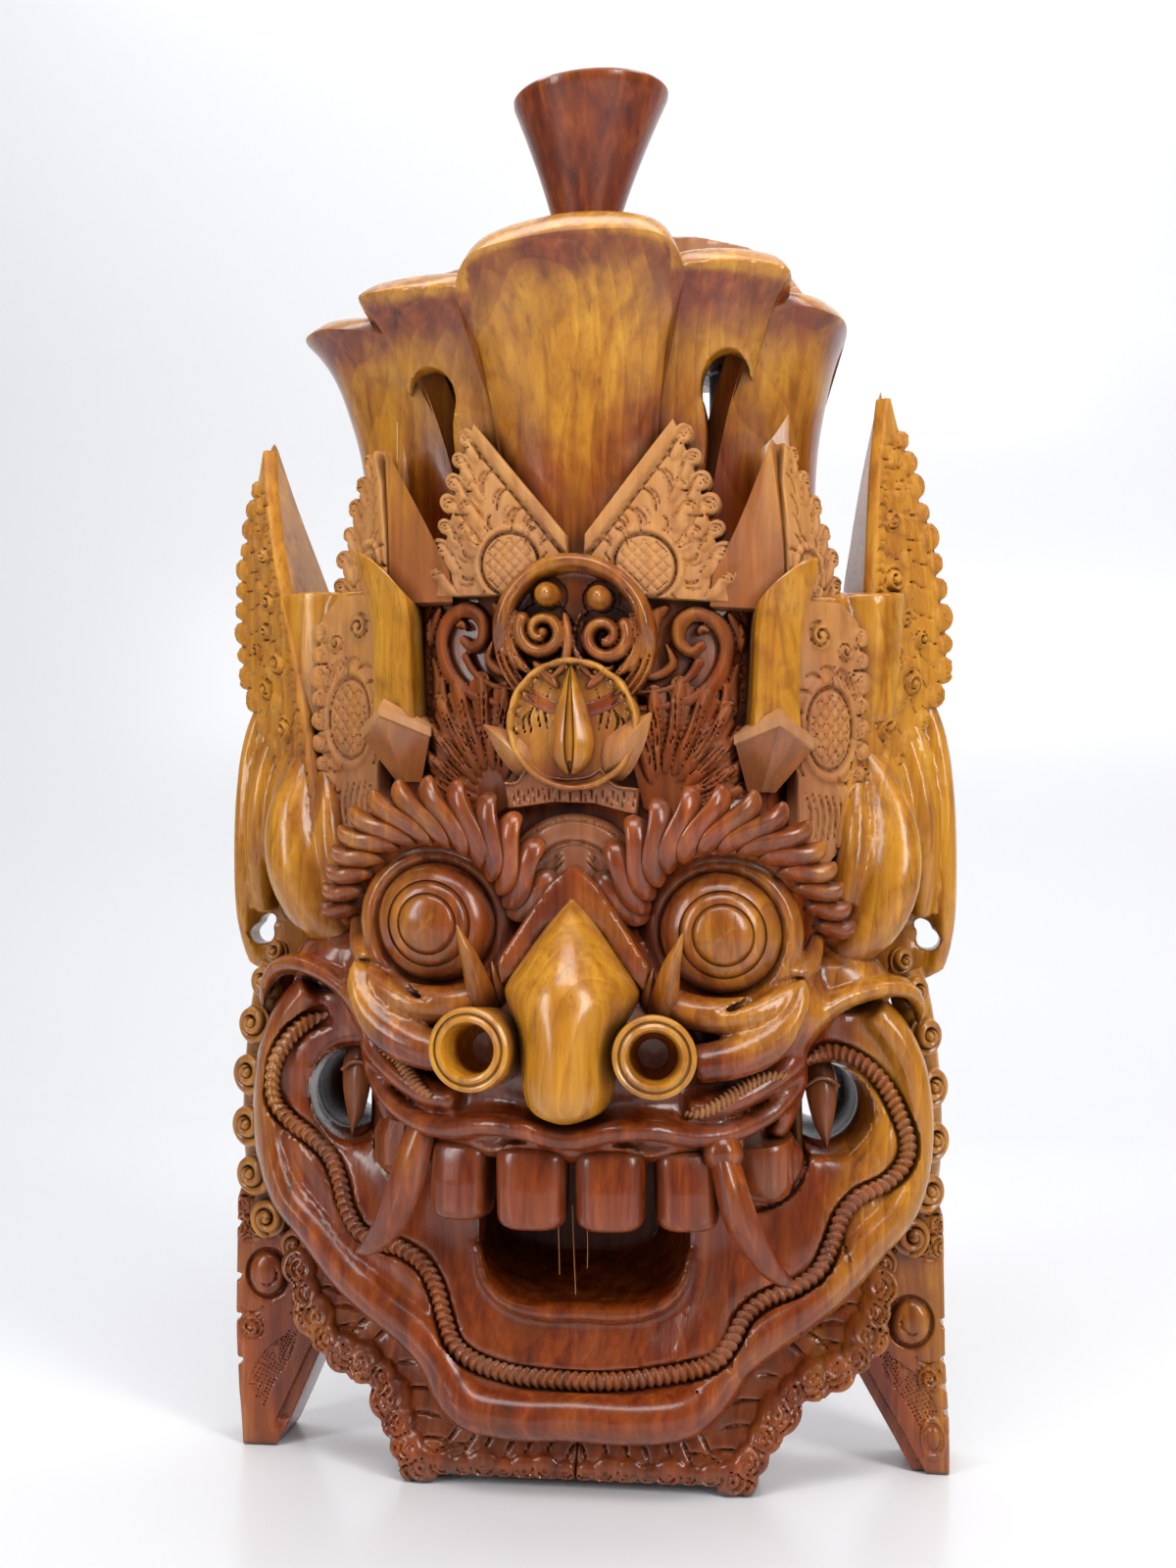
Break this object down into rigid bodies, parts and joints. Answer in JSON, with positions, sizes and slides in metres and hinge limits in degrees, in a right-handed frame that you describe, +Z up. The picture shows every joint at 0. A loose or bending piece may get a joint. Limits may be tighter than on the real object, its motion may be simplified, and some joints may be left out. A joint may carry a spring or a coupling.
{
  "type": "carved barong mask",
  "caption": "Carved wooden barong mask with a flared petal crown, bulging eyes, fangs and an open jaw, standing on two side feet and its mane.",
  "frame": {"origin": "bottom centre of the box, on the surface the mask stands on", "axes": "+X to the right of somebody facing the mask, -Y the way the face looks, +Z up; the flat back is the +Y face"},
  "size_m": [0.3214, 0.1494, 0.6],
  "materials": {
    "wood": "varnished carved hardwood, yellow sapwood on the outermost surfaces and red-brown heartwood deeper in"
  },
  "bodies": {
    "root": {"mask": "wood"}
  },
  "joints": []
}
